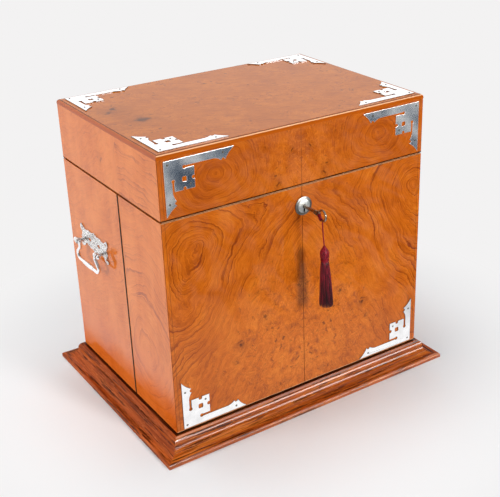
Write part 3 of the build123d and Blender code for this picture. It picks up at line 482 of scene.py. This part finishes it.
def nozzle_metal():
    """The lock's nozzle: a bright dome with painted shade low on its right, a painted dark ring of shade at
    its rim and painted black shade in the keyhole.
    """
    m = Maker("nozzle_metal")
    across, up = m.x - 1.9, m.z - lock_height
    radius = (across ** 2.0 + up ** 2.0).sqrt()
    patch = m.noise(m.x, m.y, m.z, 0.4, 2.0, 0.6)
    colour = m.ramp(patch, (0.3, rgb(212, 210, 204)), (0.65, rgb(246, 245, 240)))
    # Painted shade on the lower right of the dome
    lower = (across * 0.5 - up * 0.6 + 2.0).step(0.0, 9.0) * 0.45
    colour = m.mix(lower, colour, rgb(120, 116, 106))
    # Painted shade: a dark ring round the rim
    colour = m.mix(radius.step(8.8, 9.3) * 0.75, colour, rgb(62, 50, 40))
    # Painted black shade in the keyhole, where the metal is left off
    slot = across.abs().step(1.7, 1.3) * up.step(-7.4, -6.8) * up.step(0.5, 0.0)
    keyhole_shade = slot.most(radius.step(2.9, 2.5))
    colour = m.mix(keyhole_shade, colour, rgb(12, 8, 6))
    m.colour(colour)
    m.drive("Metallic", 1.0 - keyhole_shade)
    m.drive("Roughness", (patch - 0.5) * 0.1 + 0.34)
    m.bump(patch, 0.0001, 0.3)
    return m.material


def cast_metal(name):
    """Cast and chased plate: raised scrolls and beads, dark in the hollows."""
    m = Maker(name)
    bend = m.noise(m.x, m.y, m.z, 0.12, 2.0, 0.5)
    scroll = (m.noise(m.x, m.y + bend * 14.0, m.z + bend * 10.0, 0.16, 2.0, 0.5) * 9.0).fract()
    scroll = (scroll - 0.5).abs() * 2.0
    beads = 1.0 - m.cells(m.x, m.y, m.z, 0.34)
    relief = scroll * 0.6 + beads * 0.4
    m.colour(m.ramp(relief, (0.2, rgb(96, 88, 78)), (0.34, rgb(214, 212, 208)), (0.7, rgb(250, 250, 252))))
    m.drive("Roughness", m.noise(m.x, m.y, m.z, 0.5, 2.0, 0.5) * 0.12 + 0.1)
    m.set(Metallic=1.0)
    m.bump(relief, 0.0008, 0.6)
    return m.material


def brass(name):
    """Dull cast brass of the hinges."""
    m = Maker(name)
    patch = m.noise(m.x, m.y, m.z, 0.12, 3.0, 0.6)
    metal = m.ramp(patch, (0.3, rgb(112, 82, 40)), (0.65, rgb(176, 136, 72)))
    # The outer edges of the barrels in the side seams are painted dark, as the shade of the seams
    m.colour(m.mix(m.x.abs().step(196.5, 198.0) * 0.93, metal, rgb(40, 18, 8)))
    m.drive("Roughness", (patch - 0.5) * 0.3 + 0.34)
    m.set(Metallic=1.0)
    m.bump(m.noise(m.x, m.y, m.z, 0.9, 2.0, 0.5), 0.00006, 0.4)
    return m.material


def glass(name, cut):
    """Clear glass; the cut one has a diamond pattern pressed into its lower walls."""
    m = Maker(name)
    m.set(Transmission_Weight=1.0, IOR=1.5, Roughness=0.015)
    cloud = m.noise(m.x, m.y, m.z, 0.02, 2.0, 0.5)
    m.colour(m.ramp(cloud, (0.3, (0.93, 0.965, 0.95)), (0.7, (0.975, 0.99, 0.985))))
    if cut:
        first = ((m.x + m.y + m.z) / 7.0).math("PINGPONG", 0.5)
        second = ((m.x + m.y - m.z) / 7.0).math("PINGPONG", 0.5)
        zone = m.z.step(62.0, 66.0) * m.z.step(128.0, 124.0)
        m.bump(first.most(second) * zone, 0.0012, 0.7)
    else:
        m.bump(m.noise(m.x, m.y, m.z * 0.2, 0.09, 1.0, 0.5), 0.0006, 0.25)
    return m.material


def paint(material, *names):
    for name in names:
        data = nodes[name].data
        data.materials.clear()
        data.materials.append(material)


hands = ("left", "right")
door_fronts = ["left_door_front", "right_door_front"]
back_boards = ["case_back", "lid_back"]
side_boards = [f"{hand}_door_side" for hand in hands]
side_boards += [f"{part}_{hand}_side" for part in ("case", "lid") for hand in hands]

paint(door_figure(), *door_fronts)
paint(lid_front_figure(), "lid_front")
paint(side_figure(), *side_boards)
paint(back_figure(), *back_boards)
paint(top_figure(), "lid_top")
front_oak = plain_oak("plinth_oak_x", "x", moulding, 1.0, 0.95, ("y", 151.0, 166.0), True)
paint(front_oak, "plinth_front", "plinth_back")
side_oak = plain_oak("plinth_oak_y", "y", dark_moulding, 0.22, 0.95, None, True)
paint(side_oak, "plinth_left", "plinth_right")
paint(plain_oak("base_pine", "x", pine, 0.0, 0.3), "base_board")
inner = plain_oak("fitting_oak", "x", fitting, 0.3, 0.7)
paint(inner, "decanter_platform", "decanter_rail")
paint(inner, *(f"{hand}_{part}" for hand in hands for part in ("door_floor", "glass_tray")))
silver = plated("mount_plate", rgb(250, 250, 252), 0.08, 0.5, 0.035)
paint(silver, "lid_top_mounts", "lid_front_mounts", "left_door_mount", "right_door_mount")
pin = plated("mount_pin", rgb(120, 116, 108), 0.3)
paint(pin, "lid_mount_pins", "left_door_mount_pins", "right_door_mount_pins")
paint(nozzle_metal(), "lock_escutcheon")
paint(cast_metal("handle_plate_metal"), "left_handle_plate", "right_handle_plate")
bail = plated("handle_bail_metal", rgb(244, 244, 246), 0.14, 2.2, 0.3)
paint(bail, "left_handle_bail", "right_handle_bail")
paint(plated("lock_steel", rgb(150, 150, 150), 0.3), "lock_case", "lock_hook", "lid_keeper")
paint(plated("key_steel", rgb(158, 146, 130), 0.28), "key")
hinges = brass("hinge_brass")
paint(hinges, "lid_hinge_case_leaves", "lid_hinge_lid_leaves")
paint(hinges, *(f"{hand}_hinge_{part}_leaf" for hand in hands for part in ("case", "door")))
places = ("left", "middle", "right")
cut_glass = glass("decanter_glass", True)
paint(cut_glass, *(f"{place}_{part}" for place in places for part in ("decanter", "stopper")))
clear_glass = glass("tumbler_glass", False)
tumblers = ("outer", "middle", "inner")
paint(clear_glass, *(f"{hand}_{place}_tumbler" for hand in hands for place in tumblers))


# Softened edges on what is sharp in the drawing
def soften(names, width, edge=None):
    """Bevel the sharp edges; an edge material, if given, goes on the bevels alone."""
    for name in names:
        # The CAD's faces share no vertices, so they are welded before the bevel
        weld = nodes[name].modifiers.new("join_faces", "WELD")
        weld.merge_threshold = 0.002 * mm
        if edge:
            # Thin slivers round the piercings would spoil the bevel
            flat = nodes[name].modifiers.new("join_flats", "DECIMATE")
            flat.decimate_type = "DISSOLVE"
            flat.angle_limit = math.radians(0.6)
        bevel = nodes[name].modifiers.new("soft_edge", "BEVEL")
        bevel.width = width
        bevel.segments = 2
        bevel.limit_method = "ANGLE"
        bevel.angle_limit = math.radians(50)
        bevel.harden_normals = True
        bevel.use_clamp_overlap = edge is None
        if edge:
            nodes[name].data.materials.append(edge)
            bevel.material = 1


soften([*door_fronts, "lid_front", *back_boards, *side_boards], 0.0005)
# Painted shade: a dark edge material on the bevels of the white plates, standing for the shadow round them
painted_shade_edge = plated("mount_edge_painted_shade", rgb(104, 84, 66), 0.4)
soften(["lid_top_mounts", "left_door_mount", "right_door_mount"], 0.0004, painted_shade_edge)
soften(["lid_front_mounts"], 0.0004, plated("mount_edge_bright", rgb(252, 250, 246), 0.3))
soften(["left_handle_plate", "right_handle_plate"], 0.00035)


# Silk: the cord, the loops on the key's bow and the tassel
def silk(name, tint, pitch):
    """Twisted silk: diagonal plies with painted shade in the grooves between them, and a soft sheen."""
    m = Maker(name)
    turn = ((m.z + m.x * 1.6 + m.y * 1.1) / pitch).fract()
    ply = (turn - 0.5).abs() * 2.0
    fuzz = m.noise(m.x, m.y, m.z * 0.3, 2.2, 2.0, 0.6)
    # Painted shade in the grooves between the plies, lighter along each ply
    colour = m.ramp(ply * 0.7 + fuzz * 0.3, (0.1, scaled(tint, 0.35)), (0.75, tint))
    m.colour(colour)
    m.set(Roughness=0.5, Specular_IOR_Level=0.2, Sheen_Weight=0.03, Sheen_Roughness=0.35)
    m.shader.inputs["Sheen Tint"].default_value = (*rgb(220, 120, 130), 1)
    m.bump(ply, 0.0002, 0.6)
    return m.material


def strand_silk():
    """Loose strands: each bundle takes its own tone from a noise that is stretched along the skirt."""
    m = Maker("strand_silk")
    tone = m.noise(m.x, m.y, m.z * 0.02, 0.9, 2.0, 0.7) + (m.z - 215.0) * 0.0016
    colour = m.ramp(tone, (0.38, rgb(26, 1, 6)), (0.5, rgb(92, 8, 24)), (0.64, rgb(166, 30, 50)))
    m.colour(colour)
    m.set(Roughness=0.42, Specular_IOR_Level=0.3, Sheen_Weight=0.1, Sheen_Roughness=0.3)
    m.shader.inputs["Sheen Tint"].default_value = (*rgb(230, 130, 140), 1)
    m.bump(m.noise(m.x, m.y, m.z * 0.05, 3.0, 2.0, 0.6), 0.00015, 0.5)
    return m.material


wine = silk("cord_silk", rgb(150, 18, 36), 1.3)
strands = strand_silk()


def link(obj, material, smooth=True):
    scene.collection.objects.link(obj)
    obj.data.materials.append(material)
    if smooth and obj.type == "MESH":
        obj.data.polygons.foreach_set("use_smooth", [True] * len(obj.data.polygons))
    return obj


def spline_curve(name, points, radius, material):
    data = bpy.data.curves.new(name, "CURVE")
    data.dimensions = "3D"
    data.bevel_depth, data.bevel_resolution, data.resolution_u = radius, 4, 10
    data.use_fill_caps = True
    spline = data.splines.new("NURBS")
    spline.points.add(len(points) - 1)
    for point, place in zip(spline.points, points):
        point.co = (*place, 1)
    spline.order_u = 3
    spline.use_endpoint_u = True
    return link(bpy.data.objects.new(name, data), material)


def join_rings(mesh, rings):
    """Walls between neighbouring rings of vertices."""
    sides = len(rings[0])
    for lower, upper in zip(rings, rings[1:]):
        for k in range(sides):
            after = (k + 1) % sides
            mesh.faces.new((lower[k], lower[after], upper[after], upper[k]))


def finish_mesh(name, mesh, material):
    """Link a built mesh as an object, with its faces outward."""
    bmesh.ops.recalc_face_normals(mesh, faces=mesh.faces)
    data = bpy.data.meshes.new(name)
    mesh.to_mesh(data)
    mesh.free()
    return link(bpy.data.objects.new(name, data), material)


def tubes(name, lines, sizes, material, sides=6):
    """One mesh of many thin tubes, one for each line of points, with rounded ends."""
    mesh = bmesh.new()
    for line, size in zip(lines, sizes):
        rings = []
        for place, point in enumerate(line):
            before, after = line[max(place - 1, 0)], line[min(place + 1, len(line) - 1)]
            along = (after - before).normalized()
            across = along.cross(Vector((0, 1, 0.3))).normalized()
            other = along.cross(across)
            share = 0.45 if place in (0, len(line) - 1) else 1.0
            rings.append([
                mesh.verts.new(point + (across * math.cos(a) + other * math.sin(a)) * size * share)
                for a in (2 * math.pi * k / sides for k in range(sides))
            ])
        join_rings(mesh, rings)
        mesh.faces.new(reversed(rings[0]))
        mesh.faces.new(rings[-1])
    return finish_mesh(name, mesh, material)


# Tassel cord, on the route of its tube
cord_points = [(0.0019, -0.183, 0.2836), (0.0023, -0.183, 0.2671), (0.0045, -0.183, 0.2506)]
cord = spline_curve("silk_cord", cord_points, 0.0008, wine)
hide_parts("tassel_cord")
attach(cord, "tassel")

# Tassel: an axis that leans as the solid's does, with distances measured down it
tassel_top = Vector(cord_points[-1])
lean = math.radians(2)
down = Vector((math.sin(lean), 0, -math.cos(lean)))
side_on = Vector((math.cos(lean), 0, math.sin(lean)))
front_on = Vector((0, -1, 0))


def on_tassel(depth, radius, angle):
    return tassel_top + down * depth + (side_on * math.cos(angle) + front_on * math.sin(angle)) * radius


def turned(name, profile, material):
    """A turned core about the tassel's axis."""
    sides = 32
    mesh = bmesh.new()
    rings = [
        [mesh.verts.new(on_tassel(depth, radius, 2 * math.pi * k / sides)) for k in range(sides)]
        for depth, radius in profile
    ]
    join_rings(mesh, rings)
    mesh.faces.new(rings[0])
    mesh.faces.new(reversed(rings[-1]))
    return finish_mesh(name, mesh, material)


# Depth and radius of the core, in millimetres
core_profile = (
    (0.2, 0.5), (1.5, 1.5), (2.8, 1.3), (4, 3), (7, 5), (11, 5.7), (15, 5.2),
    (18.5, 4.4), (20.5, 4.6), (35, 4.8), (60, 5), (80, 4.6), (84, 2.5),
)
core = turned("tassel_core", [(depth * mm, radius * mm) for depth, radius in core_profile], strands)


def head_radius(depth):
    """Outline of the bound head, in millimetres down the axis."""
    share = min(max((depth - 3) / 15.5, 0), 1)
    return 1.9 + 2.5 * share + 3.3 * math.sin(math.pi * share) ** 0.8


def head_cord(hand, start):
    """One cord wound down the head, one way or the other, rising and sinking where cords cross."""
    line = []
    for t in (k / 16 for k in range(17)):
        depth = 3.2 + 15.2 * t
        weave = 0.14 * math.sin(9 * hand * t * 3.1 + start)
        radius = min(head_radius(depth), 6.2) - 0.75 + weave
        line.append(on_tassel(depth * mm, radius * mm, start + hand * 1.9 * t))
    return line


# Bound head: two sets of cords wound opposite ways
head_cords = 9
starts = [2 * math.pi * index / head_cords for index in range(head_cords)]
head_lines = [head_cord(hand, start) for hand in (1, -1) for start in starts]
head = tubes("tassel_head", head_lines, [0.62 * mm] * len(head_lines), wine)

# Bands round the neck and the knot above the head
# Depth, radius and thickness of each, in millimetres
band_shapes = ((18.6, 4.9, 0.55), (19.5, 5.1, 0.55), (20.4, 5.2, 0.5), (1.2, 1.55, 0.5), (2.1, 1.6, 0.5))
band_lines = [
    [on_tassel((depth + 0.25 * k / 24) * mm, radius * mm, 2 * math.pi * k / 24 + depth) for k in range(25)]
    for depth, radius, _ in band_shapes
]
bands = tubes("tassel_bands", band_lines, [size * mm for _, _, size in band_shapes], wine)

# Skirt of strands: they leave the neck together and part a little lower down
strand_count, outer_strands = 330, 150
golden_angle = 2.399963
neck, neck_radius, skirt_end, skirt_radius = 19.8, 4.2, 86.2, 9.1
skirt_lines, skirt_sizes = [], []
for index in range(strand_count):
    angle = index * golden_angle
    layer = 0.45 + 0.55 * math.sqrt(rng.random())
    if index < outer_strands:
        layer = rng.uniform(0.9, 1.0)
    end = skirt_end - abs(rng.gauss(0, 1.5)) - (1 - layer) * 2
    spread = rng.uniform(0.94, 1.0)
    phase, wave = rng.uniform(0, 6.28), rng.uniform(0.1, 0.35)
    line = []
    for k in range(12):
        t = k / 11
        depth = neck + (end - neck) * t
        widen = neck_radius + (skirt_radius * spread - neck_radius) * t ** 0.6
        radius = min(widen * layer, 9.0)
        sway = wave * math.sin(5 * t + phase) * t
        line.append(on_tassel(depth * mm, radius * mm, angle + sway * 0.35 + 0.25 * t))
    skirt_lines.append(line)
    skirt_sizes.append(rng.uniform(0.26, 0.4) * mm)
skirt = tubes("tassel_skirt", skirt_lines, skirt_sizes, strands, 5)

for piece in (core, head, bands, skirt):
    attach(piece, "tassel")
    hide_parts("tassel")

# Loops of the cord round the key's bow
bow_centre = Vector((0.0019, -0.183, 0.292))
bow_radius, wire_radius = 7.0, 1.95
loop_start, loop_end, loop_count = -1.75, -3.3, 8
loop_steps = loop_count * 14
loop_line = []
for k in range(loop_steps + 1):
    t = k / loop_steps
    place = loop_start + (loop_end - loop_start) * t
    round_wire = 2 * math.pi * loop_count * t
    ring = Vector((0, -math.cos(place), math.sin(place)))
    offset = ring * math.cos(round_wire) + Vector((1, 0, 0)) * math.sin(round_wire)
    loop_line.append(bow_centre + ring * bow_radius * mm + offset * wire_radius * mm)
loops = tubes("cord_loops", [loop_line], [0.55 * mm], wine)
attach(loops, "key")


# Lid lining: a buttoned pad
def velvet():
    """Worn velvet: a soft nap and a fine weave."""
    m = Maker("lining_velvet")
    nap = m.noise(m.x, m.y, m.z, 0.06, 3.0, 0.6)
    weave = m.noise(m.x, m.y, m.z, 2.4, 2.0, 0.6)
    m.colour(m.ramp(nap * 0.7 + weave * 0.3, (0.3, rgb(58, 8, 16)), (0.7, rgb(112, 22, 34))))
    m.set(Roughness=0.8, Sheen_Weight=0.8, Sheen_Roughness=0.4)
    m.bump(weave, 0.0003, 0.5)
    return m.material


def buttoned_pad(low, high):
    """A sheet that swells between its buttons and thins to its rim, closed behind by a flat back."""
    cells_x, cells_y = 112, 80
    button_x, button_y = 47.0, 43.5
    rim_cells = 5
    mesh = bmesh.new()
    grid = []
    for j in range(cells_y + 1):
        row = []
        for i in range(cells_x + 1):
            x = low.x + (high.x - low.x) * i / cells_x
            y = low.y + (high.y - low.y) * j / cells_y
            across, along = (x - low.x) / mm / button_x, (y - low.y) / mm / button_y
            seam = min(abs(math.sin(math.pi * (across + along))), abs(math.sin(math.pi * (across - along))))
            edge = min(i, cells_x - i, j, cells_y - j)
            puff = min(1.0, 0.25 + 0.75 * seam ** 0.5) * min(1.0, (edge / rim_cells) ** 0.5)
            z = high.z - 0.4 * mm - (high.z - low.z - 0.6 * mm) * puff
            row.append(mesh.verts.new((x, y, z)))
        grid.append(row)
    for j in range(cells_y):
        for i in range(cells_x):
            mesh.faces.new((grid[j][i], grid[j][i + 1], grid[j + 1][i + 1], grid[j + 1][i]))
    rim = grid[0] + [row[cells_x] for row in grid[1:]]
    rim += grid[cells_y][-2::-1] + [grid[j][0] for j in range(cells_y - 1, 0, -1)]
    back = [mesh.verts.new((v.co.x, v.co.y, high.z - 0.05 * mm)) for v in rim]
    mesh.faces.new(reversed(back))
    for k in range(len(rim)):
        after = (k + 1) % len(rim)
        mesh.faces.new((rim[k], back[k], back[after], rim[after]))
    return finish_mesh("lid_pad", mesh, velvet())


low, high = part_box("lid_lining")
pad = buttoned_pad(Vector(low), Vector(high))
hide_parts("lid_lining")
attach(pad, "lid")


# Stage: a pale floor, a soft surround and soft lights
def make_floor():
    size = 12
    data = bpy.data.meshes.new("floor")
    corners = [(-size, -size, 0), (size, -size, 0), (size, size, 0), (-size, size, 0)]
    data.from_pydata(corners, [], [(0, 1, 2, 3)])
    floor = bpy.data.objects.new("floor", data)
    m = Maker("floor_paper")
    tone = m.noise(m.x, m.y, m.z, 0.001, 2.0, 0.5)
    m.colour(m.ramp(tone, (0.3, (0.82, 0.85, 0.87)), (0.7, (0.83, 0.86, 0.88))))
    m.set(Roughness=0.9, Specular_IOR_Level=0.1)
    # What the polished faces mirror: bright paper close by and to the left, a dark room to the front right
    tree = m.tree
    path = tree.nodes.new("ShaderNodeLightPath")
    glow = tree.nodes.new("ShaderNodeEmission")
    reach = (m.x * 0.45 - m.y * 0.9).step(270.0, 500.0)
    beside = (m.x * -0.8 + m.y * 0.6).step(60.0, 260.0)
    near = m.mix(beside, (1.02, 1.01, 1.0), (1.1, 1.1, 1.1))
    streak = m.noise(m.x + m.y * 0.4, m.y * 0.35, m.z, 0.022, 3.0, 0.55, 1.5)
    dark, dim, bright = (0.03, 0.045, 0.07), (0.13, 0.17, 0.22), (0.72, 0.72, 0.7)
    room = m.ramp(streak, (0.4, dark), (0.5, dim), (0.59, bright))
    tree.links.new(m.mix(reach, near, room), glow.inputs["Color"])
    blend = tree.nodes.new("ShaderNodeMixShader")
    output = tree.nodes["Material Output"]
    tree.links.new(path.outputs["Is Glossy Ray"], blend.inputs[0])
    tree.links.new(m.shader.outputs[0], blend.inputs[1])
    tree.links.new(glow.outputs[0], blend.inputs[2])
    # Far from the box the paper sweeps up into the even background
    even = tree.nodes.new("ShaderNodeEmission")
    even.inputs["Color"].default_value = (*rgb(243, 242, 242), 1)
    seen = Val(tree, path.outputs["Is Camera Ray"])
    far = (m.x ** 2.0 + m.y ** 2.0).sqrt().step(250.0, 500.0) * seen
    sweep = tree.nodes.new("ShaderNodeMixShader")
    tree.links.new(far.socket, sweep.inputs[0])
    tree.links.new(blend.outputs[0], sweep.inputs[1])
    tree.links.new(even.outputs[0], sweep.inputs[2])
    tree.links.new(sweep.outputs[0], output.inputs["Surface"])
    link(floor, m.material, False)


def make_world():
    world = bpy.data.worlds.new("studio")
    scene.world = world
    world.use_nodes = True
    tree = world.node_tree
    tree.nodes.clear()
    where = tree.nodes.new("ShaderNodeTexCoord")
    split = tree.nodes.new("ShaderNodeSeparateXYZ")
    tree.links.new(where.outputs["Generated"], split.inputs[0])
    x, y, z = (Val(tree, split.outputs[i]) for i in range(3))
    light_path = tree.nodes.new("ShaderNodeLightPath")
    mirror = Val(tree, light_path.outputs["Is Glossy Ray"])
    seen = Val(tree, light_path.outputs["Is Camera Ray"])
    # What the polished faces mirror: a bright backdrop, and two soft boxes to the front right
    backdrop = y.step(-0.2, 0.3) * 1.05 + 0.25
    box = (x * 0.514 - y * 0.845 + z * 0.14).step(0.972, 0.99) * 14.0
    high_box = (x * 0.514 - y * 0.413 + z * 0.752).step(0.94, 0.99) * 4.0
    strength = (1.0 - mirror) * 0.13 + mirror * (backdrop + box + high_box)
    strength = strength * (1.0 - seen) + seen * 0.89
    background = tree.nodes.new("ShaderNodeBackground")
    background.inputs["Color"].default_value = (1.0, 0.995, 0.995, 1)
    tree.links.new(strength.socket, background.inputs["Strength"])
    out = tree.nodes.new("ShaderNodeOutputWorld")
    tree.links.new(background.outputs[0], out.inputs["Surface"])


def lamp(name, place, aim, size, power, mirrored=False):
    data = bpy.data.lights.new(name, "AREA")
    data.shape, data.size, data.energy = "DISK", size, power
    obj = bpy.data.objects.new(name, data)
    obj.location = place
    obj.rotation_euler = (Vector(aim) - Vector(place)).to_track_quat("-Z", "Y").to_euler()
    # The broad lamps stay out of the polish, which mirrors the surround instead
    obj.visible_glossy = mirrored
    scene.collection.objects.link(obj)


make_floor()
make_world()
lamp("front_light", (0.41, -2.1, 0.9), (0, 0, 0.2), 0.42, 32, True)
lamp("top_light", (0.0, 0.5, 2.6), (0, 0.2, 0.0), 1.8, 42)
lamp("left_light", (-2.2, 0.3, 0.9), (0, 0, 0.2), 1.2, 27)
